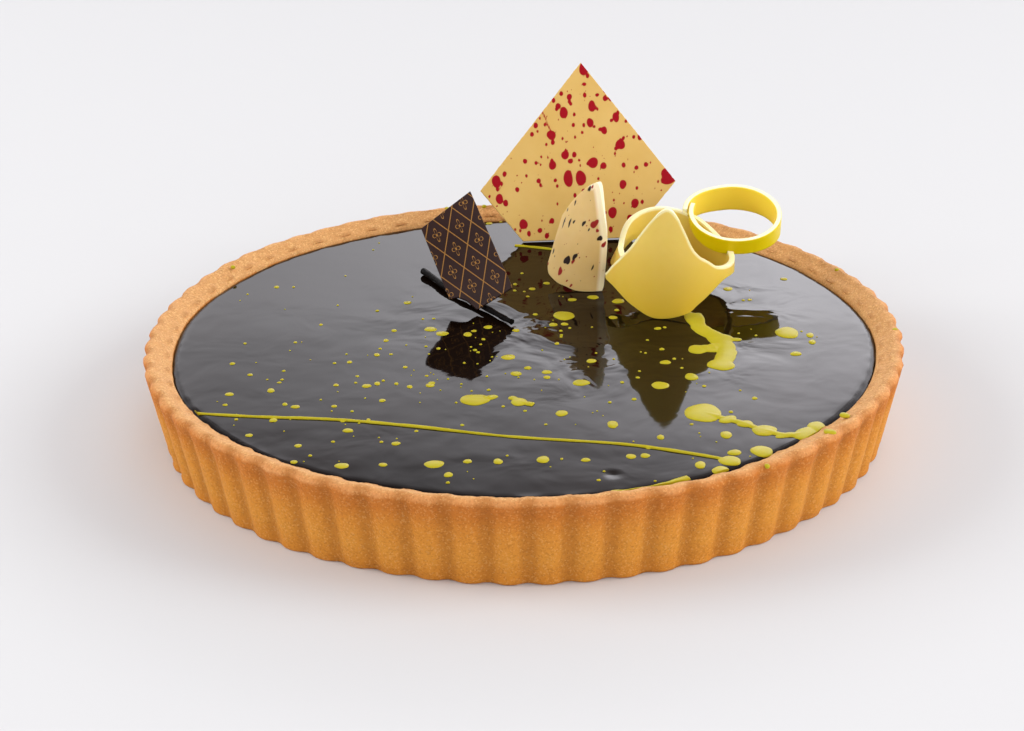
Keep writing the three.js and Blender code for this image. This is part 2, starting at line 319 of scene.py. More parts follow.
def pastry_finish():
    """Baked shortcrust: sandy, golden, darker just under the rim and paler on top, with painted shade darkening
    the creases of the flutes.
    """
    finish, tree, shader = new_finish("pastry")
    place = object_place(tree)
    coarse, fine = mottling(tree, 55, 700)
    height = maths(tree, "DIVIDE", parts_of(tree, place)["Z"], RIM_HEIGHT)
    patchy = maths(tree, "MULTIPLY", maths(tree, "SUBTRACT", coarse, 0.5), 0.16)
    body = ramp(tree, maths(tree, "ADD", height, patchy), [
        (0.0, srgb(198, 126, 38)), (0.3, srgb(208, 140, 50)), (0.6, srgb(206, 134, 46)),
        (0.82, srgb(192, 114, 36)), (0.93, srgb(190, 112, 40)), (0.98, srgb(210, 144, 84))])
    top = attribute(tree, "top")
    rim = mixed(tree, top, body, srgb(213, 157, 98))
    # Painted shade in the flute creases: the colour of the valleys is darkened towards a deep brown
    shade = maths(tree, "MULTIPLY", attribute(tree, "crease"), 0.42)
    crease_shaded = mixed(tree, shade, rim, srgb(152, 90, 24))
    # Sandy crumbs, a few of them bright
    crumbs = node(tree, "ShaderNodeTexVoronoi", {"Vector": place, "Scale": 1900})
    tone = node(tree, "ShaderNodeSeparateColor", {"Color": crumbs.outputs["Color"]}).outputs
    grain = ramp(tree, tone[0], [(0.0, (0.74, 0.69, 0.6, 1)), (0.35, (0.93, 0.91, 0.88, 1)),
                                 (0.8, (1, 1, 1, 1)), (1, (1, 1, 0.96, 1))])
    sandy = mixed(tree, 0.75, crease_shaded, grain, "MULTIPLY")
    bright = maths(tree, "GREATER_THAN", tone[1], 0.86)
    share = maths(tree, "ADD", maths(tree, "MULTIPLY", top, 0.22), 0.13)
    sand = bump(tree, tone[0], 0.3, 0.00022)
    set_inputs(shader, {
        "Base Color": mixed(tree, maths(tree, "MULTIPLY", bright, share), sandy, srgb(248, 206, 138)),
        "Roughness": 0.72, "Specular IOR Level": 0.3, "Subsurface Weight": 0.08,
        "Subsurface Radius": (1.0, 0.5, 0.2), "Subsurface Scale": 0.0015,
        "Normal": bump(tree, fine, 0.45, 0.0006, sand)})
    return finish


def glaze_finish():
    """Dark chocolate mirror glaze: near black, very smooth, with long soft ripples and finer swirls
    where it was stirred. It is duller in an uneven line along the crust."""
    finish, tree, shader = new_finish("dark_glaze")
    coarse, fine = mottling(tree, 16, 380)
    dull = maths(tree, "ADD", attribute(tree, "edge"), maths(tree, "SUBTRACT", fine, 0.5))
    swirls = node(tree, "ShaderNodeTexNoise", {
        "Vector": object_place(tree), "Scale": 46, "Detail": 2.5, "Distortion": 0.5})
    height = maths(tree, "SUBTRACT", swirls.outputs[0], 0.5)
    stirring = maths(tree, "MULTIPLY", height, attribute(tree, "stir"))
    set_inputs(shader, {
        "Base Color": ramp(tree, coarse, [(0.3, srgb(11, 5, 2)), (0.7, srgb(20, 10, 5))]),
        "Roughness": stretched(tree, dull, 0.42, 0.62, 0.045, 0.24),
        "IOR": 1.21, "Specular Tint": (0.93, 0.9, 1, 1),
        "Normal": bump(tree, stirring, 1, 0.0008, bump(tree, coarse, 0.12, 0.0016))})
    return finish


def splash_finish():
    """Green cocoa butter: smooth and glossy, in soft clouds of yellower and greener."""
    finish, tree, shader = new_finish("green_cocoa_butter")
    coarse, fine = mottling(tree, 70, 300)
    set_inputs(shader, {
        "Base Color": ramp(tree, coarse, [(0.3, srgb(170, 157, 24)), (0.7, srgb(182, 168, 40))]),
        "Roughness": ramp(tree, fine, [(0.3, grey(0.28)), (0.7, grey(0.36))]),
        "Specular IOR Level": 0.12, "Subsurface Weight": 0.1, "Subsurface Scale": 0.0006})
    return finish


def chocolate_finish(name, low, high, roughness=0.38, depth=0.003):
    """Set chocolate: satin, waxy, a little cloudy. The colours run from low to high in soft clouds."""
    finish, tree, shader = new_finish(name)
    coarse, fine = mottling(tree, 60, 420)
    colour = ramp(tree, coarse, [(0.3, low), (0.7, high)])
    set_inputs(shader, {
        "Base Color": colour,
        "Roughness": ramp(tree, fine, [(0.3, grey(roughness - 0.06)), (0.7, grey(roughness + 0.08))]),
        "Specular IOR Level": 0.3, "Subsurface Weight": 0.4, "Subsurface Radius": (1.0, 0.75, 0.35),
        "Subsurface Scale": depth, "Normal": bump(tree, fine, 0.15, 0.0002)})
    return finish, tree, shader, colour


def spotted(tree, base, name, spot_colour, blur=0.00012):
    """Spots of flat colour where the piece's attribute of this name, the distance to the nearest
    spot, is below zero."""
    inside = stretched(tree, attribute(tree, name), -blur, blur, 1.0, 0.0)
    return mixed(tree, inside, base, spot_colour)


def edged(tree, colour, edge_colour, inside=None, band=1):
    """The cut edges of a rolled ribbon, and a band this many millimetres wide beside them, in
    another colour, and its hollow side in a third one, a painted glow of light bounced round inside it."""
    beside = stretched(tree, attribute(tree, "from_edge"), band * 0.7, band * 1.3, 1.0, 0.0)
    colour = mixed(tree, beside, colour, edge_colour)
    depth = attribute(tree, "depth")
    if inside is not None:
        # The hollow side's colour is painted bounce light
        colour = mixed(tree, maths(tree, "GREATER_THAN", depth, 0.0), inside, colour)
    face = stretched(tree, maths(tree, "ABSOLUTE", depth), 0.72, 0.95)
    return mixed(tree, face, edge_colour, colour)


# The pastry case

# The rounded rim, in millimetres inwards from the outside or outwards from the inside, and the
# share of the rim's depth below its top
RIM_FROM_OUTSIDE = ((0, 0.5), (0.25, 0.3), (0.8, 0.13), (1.7, 0.03), (2.8, 0), (4.4, 0.14), (6, 0.36))
RIM_FROM_INSIDE = ((2.4, 0.55), (0.9, 0.75), (0.2, 0.87))
ROUND_STEPS = 1024


def crust():
    rim = [(RIM_RADIUS - inward * MM, RIM_HEIGHT - RIM_DEPTH * down) for inward, down in RIM_FROM_OUTSIDE]
    rim += [(INNER_RADIUS + outward * MM, RIM_HEIGHT - RIM_DEPTH * down) for outward, down in RIM_FROM_INSIDE]
    rim += [(INNER_RADIUS - 0.1 * MM, GLAZE_LEVEL + 0.1 * MM),
            (case_radius_at(GLAZE_LEVEL), GLAZE_LEVEL - 1 * MM)]
    foot = along([(70 * MM, 0), (BASE_RADIUS - 0.9 * MM, 0)], 30 * MM) + [(BASE_RADIUS - 0.3 * MM, 0.35 * MM)]
    wall = along([(BASE_RADIUS, 1.1 * MM), rim[0]], 0.75 * MM)
    below = along([rim[-1], (FLOOR_RADIUS, FLOOR_THICKNESS)], 6 * MM)
    profile = ([(0, 0)] + foot + wall[:-1] + along(rim, 0.7 * MM)[:-1] + below
               + [(60 * MM, FLOOR_THICKNESS), (0, FLOOR_THICKNESS)])
    piece = turned(profile, ROUND_STEPS)
    points = points_of(piece)
    radius, angle = polar(points)
    height = points[:, 2].copy()
    # Flutes pressed by the tin, fading over the rim
    valley = (0.5 + 0.5 * np.cos(angle * FLUTES)) ** 1.35
    depth = FLUTE_DEPTH_BASE + (FLUTE_DEPTH_TOP - FLUTE_DEPTH_BASE) * height / RIM_HEIGHT
    depth *= 1 - 0.5 * smoothstep(height, 26 * MM, 31.5 * MM)
    outside = smoothstep(radius, RIM_RADIUS - 6 * MM, RIM_RADIUS - 0.4 * MM)
    wall_part = np.where(height < RIM_HEIGHT - RIM_DEPTH * 0.5, radius > BASE_RADIUS - 2 * MM, outside)
    out_to = radius - valley * depth * wall_part
    # The trimmed edge wavers in height and in width
    on_rim = smoothstep(height, 20 * MM, RIM_HEIGHT - RIM_DEPTH * 0.4) * (radius > INNER_RADIUS - 1 * MM)
    height += 0.6 * rim_waver(angle) * on_rim
    out_to += trim_waver(angle) * ((radius < RIM_RADIUS - 6 * MM) & (radius > FLOOR_RADIUS - 1 * MM))
    # The crease mask places the painted shade in the flute valleys of the pastry's colour
    add_attribute(piece, "crease", smoothstep(valley, 0.2, 1) * wall_part)
    add_attribute(piece, "top", smoothstep(RIM_RADIUS - radius, 0.6 * MM, 2.6 * MM) * (height > 29 * MM))
    # Pits and crumbs
    shown = (radius > INNER_RADIUS - 2 * MM) & (height > 0.2 * MM)
    for i in np.nonzero(shown)[0]:
        spot = Vector(points[i])
        rough = 0.25 + 0.75 * float(smoothstep(height[i], 27 * MM, 33 * MM))
        push = (0.3 * noise.noise(spot * 260) + 0.3 * noise.noise(spot * 850)) * MM * rough
        if radius[i] > RIM_RADIUS - 3 * MM or height[i] < RIM_HEIGHT - RIM_DEPTH:
            out_to[i] += push
        else:
            height[i] += push
    scale = np.where(radius > 0, out_to / np.maximum(radius, 1e-9), 1)
    set_points(piece, np.column_stack([points[:, 0] * scale, points[:, 1] * scale, height]))
    smooth(piece, 60)
    return finish_piece(piece, "crust_baked", pastry_finish(), "pastry", "crust")


# The filling under its glaze

# Where the glaze was stirred as the decorations were pressed in: the middle, and the distances
# from it at which it begins to be calmer and is calm
STIRRED_MIDDLE = (30 * MM, 25 * MM)
STIRRED_REACH = (45 * MM, 95 * MM)

# How the glaze rolls down to the case: inwards from its edge, and down, in millimetres
GLAZE_EDGE = ((0, 0.62), (0.45, 0.36), (0.95, 0.15), (1.6, 0.03))
GLAZE_EDGE_BAND = (126.2 * MM, 129.4 * MM)

# A small dimple left at the front
DIMPLE_PLACE = (28 * MM, -113 * MM)
DIMPLE_WIDTH = 1.6 * MM
DIMPLE_DEPTH = 0.35 * MM


def stirred(x, y):
    """How far the glaze was disturbed, from 0 to 1."""
    return 1 - smoothstep(np.hypot(x - STIRRED_MIDDLE[0], y - STIRRED_MIDDLE[1]), *STIRRED_REACH)


def ripple(x, y):
    """Height of the slow ripples left where the glaze set, shorter and stronger where it was stirred."""
    def wave(across, deep, layer):
        return noise.noise(Vector((x * across, y * deep, layer)))

    stir = 0.1 + 0.9 * float(stirred(x, y))
    swirl = wave(46, 46, 7.7) + 0.55 * wave(95, 95, 2.6)
    return (0.13 * wave(21, 15, 0.3) + 0.025 * wave(60, 48, 4.1) + 0.06 * stir * swirl) * MM


def filling():
    reach = case_radius_at(GLAZE_LEVEL) - GAP
    rim = [(reach - inward * MM, GLAZE_LEVEL - down * MM) for inward, down in GLAZE_EDGE]
    top = along([(reach - 2.5 * MM, GLAZE_LEVEL), (4 * MM, GLAZE_LEVEL)], 1.6 * MM)
    bottom = FLOOR_THICKNESS + GAP
    piece = turned([(0, bottom), (FLOOR_RADIUS - GAP, bottom)] + rim + top + [(0, GLAZE_LEVEL)], 560)
    points = points_of(piece)
    radius, angle = polar(points)
    scale = 1 + trim_waver(angle) * smoothstep(radius, 110 * MM, 127 * MM) / np.maximum(radius, 1e-9)
    points[:, 0] *= scale
    points[:, 1] *= scale
    edge = smoothstep(radius, *GLAZE_EDGE_BAND)
    for i in np.nonzero(points[:, 2] > GLAZE_LEVEL - 0.7 * MM)[0]:
        lumps = noise.noise(Vector(points[i]) * 160)
        points[i, 2] += ripple(points[i, 0], points[i, 1]) * (1 - edge[i]) + 0.14 * MM * edge[i] * lumps
    on_top = points[:, 2] > 20 * MM
    away = np.hypot(points[:, 0] - DIMPLE_PLACE[0], points[:, 1] - DIMPLE_PLACE[1])
    points[:, 2] -= DIMPLE_DEPTH * np.exp(-(away / DIMPLE_WIDTH) ** 2) * on_top
    set_points(piece, points)
    add_attribute(piece, "edge", edge * on_top)
    add_attribute(piece, "stir", 0.1 + 0.65 * stirred(points[:, 0], points[:, 1]))
    smooth(piece, 60)
    return finish_piece(piece, "glazed_filling", glaze_finish(), "dark_glaze", "filling")


# Green cocoa butter on the glaze

# The large splashes by place, in millimetres: x, y, length, width, turn in degrees
BIG_SPLASHES = [
    (61.4, -66.9, 13.8, 14.5, 0), (69.5, -72.5, 7.5, 5, 35), (75, -76.2, 6, 5.2, 0), (81, -81.6, 9, 8.2, 0),
    (88, -85.6, 8.5, 3.6, 20), (94.5, -84.5, 11, 7.5, 50), (99, -79.5, 7, 8, 0), (64.8, 20, 3.6, 9, 20),
    (67, 7.5, 7.5, 11, 25), (73, -2.5, 10.5, 11, 0), (74.4, -14.5, 8, 13, 0), (71.4, -26, 10, 10.5, 0),
    (64.2, -11.8, 7.5, 8.5, 0), (69.5, -13, 6.5, 3.2, 0), (78.6, -3.2, 5.5, 3, 0),
    (98.6, 2.3, 9.3, 10.4, 0), (-17.5, -53.3, 10.5, 9.6, 0), (-12, -51.6, 6, 3.6, 30),
    (-2, -55.6, 6.3, 6.4, 0), (-4.2, -52.2, 3.4, 3.4, 0), (78.4, -97.7, 7.6, 8.6, 0),
    (63.4, -111.5, 5.9, 6, 0), (15.8, 22.1, 8.4, 8.6, 0), (29.8, -75.2, 4.1, 5.6, 0),
    (12.6, -65.5, 4.5, 4.8, 0), (45.5, -85.9, 2.6, 4, 0), (5.5, -101.4, 4.6, 5, 0),
    (-9.4, -102.4, 3.3, 4.2, 0), (34.7, -100.2, 3.6, 3.6, 0), (39.4, -99.8, 3.3, 3.6, 0),
    (57.1, -107.4, 3.6, 5.6, 0), (69.2, -98.4, 5, 4.4, 0), (99.5, -17.3, 4.7, 3.6, 0),
    (59.8, -36.4, 5, 6, 0), (67.7, -84.7, 4.4, 5.4, 0), (106.8, -0.4, 3, 4.4, 0),
    (106.8, -6.8, 2.9, 4.2, 0), (67.1, -104.6, 8, 7, 0)]

# Thin drops placed one by one, among the decorations and along the front: x, y, size
PLACED_DROPS = [
    (19.4, 38.1, 3.4), (27.6, 40.4, 4.4), (37.2, 36.1, 5), (9.9, 55.8, 2.7), (4.1, 50.1, 2.7),
    (11.5, 13.6, 3.4), (50.7, 8.4, 2.7), (15.8, 13.9, 2.9), (-13, 125, 2.9), (4.9, 23.9, 2.1),
    (2.2, 42.2, 1.4), (36.2, 27, 2.1), (34.4, 19.7, 3.4), (-2.6, 8.5, 2.9), (-13.1, 12.1, 3.4),
    (-18.4, 8.6, 2.1), (-34.8, 10.9, 4.7), (-30.3, 6.6, 4.6), (-24.5, 2.2, 6.6), (-44.4, 37.5, 3.1),
    (80.7, 47, 3.9), (88, 35.3, 1.8), (85.5, 34.9, 1.4), (103.7, 56.4, 2.9), (-61, -103.9, 4.6),
    (-47.4, -103.7, 2.9), (-30.5, -103.8, 6.4), (-19.5, -102, 3.1), (19.6, -102.1, 3.1), (-60.6, -77, 3.6),
    (-43.8, -87.8, 3.1), (-76.7, -88.2, 2.6), (-77.1, -100.5, 2.6), (-94.1, -79.4, 2.6),
    (-104.5, -45.4, 3.1), (-80.2, -57, 3.1), (-56.2, -40.3, 3.4), (-33.6, -40.5, 3.4), (-5.6, -16.4, 5.1),
    (20.2, -40, 6), (48.2, -43.3, 6.6), (51.4, -23.2, 4), (-2.9, -31.2, 4.2), (1.7, -28.6, 3.3),
    (8.2, -30.2, 3.6), (24.6, -21, 3.8), (34.9, -54.1, 5.2), (-33, -38.5, 2.6)]
LONG_THREAD = [(-117.6, -60.5), (-93.2, -64.7), (-66.6, -68), (-41.6, -73.7), (-5.7, -83.4),
               (30.9, -90.4), (53.4, -98.3), (66, -103.6)]
FRONT_THREAD = [(27, -126.2), (35, -124.9), (44, -121.6), (52.5, -116.4)]
SHORT_THREAD = [(-2.3, 98), (2, 96.8), (7, 95), (13.2, 92.8)]

# Where neighbouring splashes have run together: the way between them, and its width
CHAINS = [
    ([(61.4, -66.9), (69.5, -72.5), (75, -76.2), (81, -81.6), (88, -85.6), (94.5, -84.5)], 3),
    ([(64.8, 22), (67, 7.5), (73, -2.5), (74.4, -14.5), (71.4, -26)], 7.2),
    ([(64.2, -11.8), (73, -9)], 6), ([(-17.5, -53.3), (-12, -51.6)], 3), ([(-2, -55.6), (3, -58)], 3)]

# Clusters of small drops: x, y, spread, share of the drops
CLUSTERS = [(-70, -20, 42, 0.42), (-30, -62, 50, 0.28), (60, -60, 52, 0.18), (0, 40, 60, 0.12)]

# Where the decorations stand, kept free of drops: x, y, radius
FEET = [(23, 100, 32), (27, 62, 26), (57, 40, 31), (-17, 36, 22), (-30, 58, 15), (-8, 24, 10), (85, 60, 18)]

# Drops that fell on the rim: distance from the middle, degrees round the tart, size
RIM_DROPS = [
    (133.8, -35.8, 3.6), (136.6, -41.9, 4.4), (138.4, -55.6, 2.2), (137.6, -2.2, 2.4), (136.5, 24.2, 2),
    (133.8, 149.4, 2), (137.2, 103, 3), (136.4, 96.4, 2.4)]

# Numbers of the small drops and of the finest spatter, and how far out the glaze carries green
SMALL_COUNT = 52
TINY_COUNT = 150
SPLASH_REACH = 129.3 * MM


def repeatable_numbers(seed):
    state = seed
    while True:
        state = (state * 1664525 + 1013904223) % 4294967296
        yield state / 4294967296


def clear_of(x, y, others, radius_of):
    return all(math.hypot(o[0] - x, o[1] - y) > radius_of(o) for o in others)


def small_splashes(count):
    """Drops by a seeded rule, the same ones as the solid filling carries."""
    numbers = repeatable_numbers(11)
    found = []
    while len(found) < count:
        pick = next(numbers)
        cluster = CLUSTERS[0]
        for one in CLUSTERS:
            pick -= one[3]
            if pick < 0:
                cluster = one
                break
        reach = cluster[2] * math.sqrt(-2 * math.log(1 - 0.98 * next(numbers))) * 0.75
        angle = next(numbers) * 2 * math.pi
        x = cluster[0] + reach * math.cos(angle)
        y = cluster[1] + reach * math.sin(angle)
        size = 1.6 + 2.2 * next(numbers) ** 3
        if (math.hypot(x, y) < 124.2 and clear_of(x, y, FEET, lambda o: o[2])
                and clear_of(x, y, BIG_SPLASHES, lambda o: o[2] / 2 + size + 1)
                and clear_of(x, y, found, lambda o: o[2] + size + 1)):
            found.append((x, y, size, size * (0.85 + 0.4 * next(numbers)), 0))
    return found


def tiny_splashes(count, taken):
    """Spatter of half a millimetre to a millimetre and a half, denser near the other drops."""
    draw = random.Random(5)
    found = []
    while len(found) < count:
        if draw.random() < 0.55:
            near = draw.choice(taken)
            x, y = near[0] + draw.gauss(0, 9), near[1] + draw.gauss(0, 9)
        else:
            x, y = draw.gauss(-20, 62), draw.gauss(-25, 52)
        size = 0.5 + 1.1 * draw.random() ** 2.5
        if (math.hypot(x, y) < 127 and clear_of(x, y, FEET, lambda o: o[2] * 0.8)
                and clear_of(x, y, taken, lambda o: o[2] / 2 + size) and clear_of(x, y, found, lambda o: 1.5)):
            found.append((x, y, size, size, 0))
    return found


def drop(x, y, length, width, turn, rise, level, segments, rings):
    """A low round drop sunk a little into what it lies on, its outline a little uneven."""
    clear_selection()
    bpy.ops.mesh.primitive_uv_sphere_add(segments=segments, ring_count=rings, radius=1)
    piece = bpy.context.object
    points = points_of(piece)
    _, angle = polar(points)
    uneven = (1 + 0.05 * np.sin(2 * angle + x) + 0.04 * np.sin(3 * angle + 2 * y)
              + 0.025 * np.sin(5 * angle + x * y))
    flat = np.sign(points[:, 2]) * np.abs(points[:, 2]) ** 0.7
    across, deep = rotated(points[:, 0] * uneven * length / 2, points[:, 1] * uneven * width / 2, turn)
    set_points(piece, np.column_stack([x + across, y + deep, level / MM + flat * rise]) * MM)
    return piece


def joined(pieces, name):
    clear_selection()
    for piece in pieces:
        piece.select_set(True)
    bpy.context.view_layer.objects.active = pieces[0]
    bpy.ops.object.join()
    pieces[0].name = name
    return pieces[0]


def rod(line, radii, name, sides=3):
    """A round rod along a line of points, from a curve with a bevel, made a mesh."""
    data = bpy.data.curves.new(name, "CURVE")
    data.dimensions = "3D"
    data.bevel_depth = 1
    data.bevel_resolution = sides
    data.use_fill_caps = True
    spline = data.splines.new("POLY")
    spline.points.add(len(line) - 1)
    for point, place, radius in zip(spline.points, line, radii):
        point.co = (*place, 1)
        point.radius = radius
    piece = bpy.data.objects.new(name, data)
    bpy.context.scene.collection.objects.link(piece)
    pick(piece)
    bpy.ops.object.convert(target="MESH")
    return bpy.context.object


def on_curve(points, share):
    """The point at this share along an even Catmull-Rom curve through the points."""
    points = np.asarray(points, float)
    last = len(points) - 1
    at = min(share * last, last - 1e-9)
    i = int(at)
    t = at - i
    before, here, there = points[max(i - 1, 0)], points[i], points[i + 1]
    after = points[min(i + 2, last)]
    v0, v1 = (there - before) / 2, (after - here) / 2
    return ((2 * here - 2 * there + v0 + v1) * t ** 3 + (3 * there - 3 * here - 2 * v0 - v1) * t ** 2
            + v0 * t + here)


def thread(line, width, steps):
    """A thread of cocoa butter, thicker and thinner along its way, half sunk into the glaze. A wide
    one lies flat."""
    places, radii = [], []
    for i in range(steps + 1):
        x, y = on_curve(line, i / steps) * MM
        lump = noise.noise(Vector((i * 0.21, 3.7, 0)))
        places.append((x, y, GLAZE_LEVEL + ripple(x, y) * 0.6))
        radii.append(width / 2 * MM * (1 + 0.28 * lump))
    piece = rod(places, radii, "thread", sides=5)
    points = points_of(piece)
    points[:, 2] = GLAZE_LEVEL + (points[:, 2] - GLAZE_LEVEL) * min(1, 1.3 / width)
    set_points(piece, points)
    return piece


def glaze_at(x, y):
    """Level of the glaze at a place in millimetres."""
    return GLAZE_LEVEL + ripple(x * MM, y * MM)


def green_splashes():
    """Larger drops and threads melt into each other; the finest spatter stays as single drops."""
    small = small_splashes(SMALL_COUNT)
    bodies = [drop(*one, min(0.6, 0.28 + one[3] * 0.05) + 0.05, GLAZE_LEVEL - 0.02 * MM, 24, 10)
              for one in BIG_SPLASHES + small]
    bodies += [thread(LONG_THREAD, 1.5, 150), thread(FRONT_THREAD, 3, 40)]
    bodies += [thread(chain, width, 40) for chain, width in CHAINS]
    piece = joined(bodies, "green_splashes")
    apply_modifier(piece, "REMESH", mode="VOXEL", voxel_size=0.3 * MM, adaptivity=0)
    apply_modifier(piece, "SMOOTH", factor=0.5, iterations=3)
    points = points_of(piece)
    radius, _ = polar(points)
    pull = np.where(radius > SPLASH_REACH, SPLASH_REACH / np.maximum(radius, 1e-9), 1)
    points[:, 0] *= pull
    points[:, 1] *= pull
    for i, point in enumerate(points):
        points[i, 2] += ripple(point[0], point[1])
    set_points(piece, points)
    smooth(piece, 80)
    finish_piece(piece, "green_splashes", splash_finish(), "dark_glaze")
    tiny = [drop(*one, 0.18 + 0.16 * one[3], glaze_at(*one[:2]), 10, 6)
            for one in tiny_splashes(TINY_COUNT, BIG_SPLASHES + small + PLACED_DROPS)]
    tiny += [drop(x, y, size, size * 0.9, 0, 0.36, glaze_at(x, y), 20, 8)
             for x, y, size in PLACED_DROPS if clear_of(x, y, small, lambda o: (o[2] + size) / 2 + 0.4)]
    tiny.append(thread(SHORT_THREAD, 1.5, 20))
    for distance, turn, size in RIM_DROPS:
        angle = math.radians(turn)
        sunk = 0.25 * MM + 0.4 * max(0, distance - 137) * MM
        level = RIM_HEIGHT + 0.6 * float(rim_waver(angle)) - sunk
        tiny.append(drop(distance * math.cos(angle), distance * math.sin(angle), size, size * 0.85, turn,
                         0.75, level, 16, 8))
    spatter = joined(tiny, "green_spatter")
    smooth(spatter, 80)
    return finish_piece(spatter, "green_spatter", bpy.data.materials["green_cocoa_butter"], "dark_glaze")


# Set chocolate: rolled ribbons

def rolled_ribbon(name, lower, upper, columns, rows, thickness, radius_at):
    """A ribbon rolled while it set: its edges are lines through points of turn (degrees from the
    front, to the right) and height. All in millimetres about the middle of the roll."""
    clear_selection()
    bpy.ops.mesh.primitive_grid_add(x_subdivisions=columns, y_subdivisions=rows, size=2)
    piece = bpy.context.object
    piece.name = name
    places = []
    for x, y, _ in points_of(piece):
        low = on_curve(lower, (x + 1) / 2)
        high = on_curve(upper, (x + 1) / 2)
        turn, height = low + (high - low) * (y + 1) / 2
        radius = radius_at(turn, height) - thickness / 2
        angle = math.radians(turn)
        places.append((radius * math.sin(angle) * MM, -radius * math.cos(angle) * MM, height * MM))
    set_points(piece, places)
    apply_modifier(piece, "SOLIDIFY", thickness=thickness * MM, offset=0)
    rounded_edges(piece, 0.35)
    tidy_mesh(piece, 0.000005)
    return piece


def add_depth(piece, radius, outer_radius, thickness):
    """-1 on the hollow side of a ribbon, 1 on its outside, between them on the edges."""
    add_attribute(piece, "depth", (radius - outer_radius) / (thickness / 2) + 1)


def from_line(line, turn, height, radius):
    """Distance in millimetres, along the face of a rolled ribbon, from a line through turn and height."""
    marks = [on_curve(line, i / 240) for i in range(241)]
    return np.min([np.hypot(np.radians(turn - t) * radius, height - h) for t, h in marks], axis=0)


def spots_field(across, up, spots, seed, uneven=0.18):
    """Distance in metres to the nearest of these spots of (place across, place up, half width, half
    height), below zero inside. The outlines are uneven."""
    draw = random.Random(seed)
    nearest = np.full(len(across), 5.0)
    for x, y, wide, high in spots:
        phase = draw.uniform(0, 6.28)
        du, dv = across - x, up - y
        angle = np.arctan2(dv / high, du / wide)
        edge = 1 + uneven * np.sin(2 * angle + phase) + uneven * 0.7 * np.sin(3 * angle - 2 * phase)
        distance = (np.hypot(du / wide, dv / high) - edge) * min(wide, high)
        nearest = np.minimum(nearest, distance)
    return nearest * MM


# Specks on the leaf: turn in degrees, height, half width, half height in millimetres
DARK_SPECKS = [
    (-45, 40.5, 0.6, 1.3), (-59, 33.5, 0.5, 1), (-69, 29.5, 0.4, 0.8), (-67, 24.5, 0.5, 2),
    (-56, 25.5, 0.6, 1.6), (-50, 26.5, 0.5, 0.8), (-36, 27, 0.7, 1.1), (-27, 25, 0.4, 0.6),
    (-11, 22, 0.9, 1.2), (-40, 11.5, 1.3, 2), (-32, 13.5, 0.9, 1.4), (-67, 12.5, 0.5, 1.1),
    (-7, 10, 0.4, 1)]
RED_SPECKS = [
    (-42, 41.5, 0.4, 0.9), (-23, 27.5, 1.3, 1.9), (-17, 25, 0.6, 0.8), (-4, 19.5, 0.7, 1.4),
    (-32, 11.5, 0.6, 1), (-44, 6.5, 0.9, 1.8), (-24, 2, 0.5, 0.7), (-31, 3.5, 0.4, 0.4),
    (-26, 13.5, 0.3, 0.3), (-69, 7, 0.5, 0.7)]
LEAF_RADIUS = 19.8
LEAF_LEAN = 0.347
LEAF_MIDDLE = (26.6, 65.5)
LEAF_THICKNESS = 2.3
FINE_SPECKS = 34
DARK_SHARE = 9
LEAF_LOWER = [(-70, 7), (-62, 4.2), (-50, 2.8), (-40, 1.8), (-31, 1.4), (-16, 0.2), (-1, 0), (14, 0)]
LEAF_UPPER = [(-78, 26), (-64.5, 34), (-53, 39.2), (-42, 42.8), (-33, 42), (-16, 31.5), (-1.5, 21), (14, 1.8)]


def leaf_radius_at(turn, height):
    return LEAF_RADIUS


def along_face(spots):
    """Specks placed by turn, placed by millimetres along the face instead."""
    return [(math.radians(turn) * LEAF_RADIUS, *others) for turn, *others in spots]


def speckled_leaf():
    piece = rolled_ribbon("leaf", LEAF_LOWER, LEAF_UPPER, 110, 90, LEAF_THICKNESS, leaf_radius_at)
    points = points_of(piece) / MM
    radius, turn = from_front(points)
    across = np.radians(turn) * LEAF_RADIUS
    draw = random.Random(8)
    fine = [(draw.uniform(-70, 8), draw.uniform(1, 40), *(draw.uniform(0.15, 0.32),) * 2)
            for _ in range(FINE_SPECKS)]
    for name, specks, seed in (("dark", DARK_SPECKS + fine[:DARK_SHARE], 3),
                               ("red", RED_SPECKS + fine[DARK_SHARE:], 4)):
        add_attribute(piece, name, spots_field(across, points[:, 2], along_face(specks), seed))
    add_depth(piece, radius, LEAF_RADIUS, LEAF_THICKNESS)
    # Paler along the upper edge from the tip on
    add_attribute(piece, "from_edge", from_line(LEAF_UPPER[3:], turn, points[:, 2], LEAF_RADIUS))
    points[:, 0] += LEAF_LEAN * points[:, 2]
    set_points(piece, points * MM)
    moved(piece, *LEAF_MIDDLE, REST_LEVEL / MM)
    smooth(piece, 45)
    finish, tree, shader, colour = chocolate_finish(
        "white_chocolate_speckled", srgb(211, 177, 110), srgb(219, 188, 125), depth=0.0025)
    pale = edged(tree, colour, srgb(246, 232, 196), band=2.4)
    red = spotted(tree, pale, "red", srgb(150, 26, 22))
    feed(spotted(tree, red, "dark", srgb(34, 18, 14)), shader.inputs["Base Color"])
    return finish_piece(piece, "speckled_leaf_set", finish, "white_chocolate_speckled", "speckled_leaf")


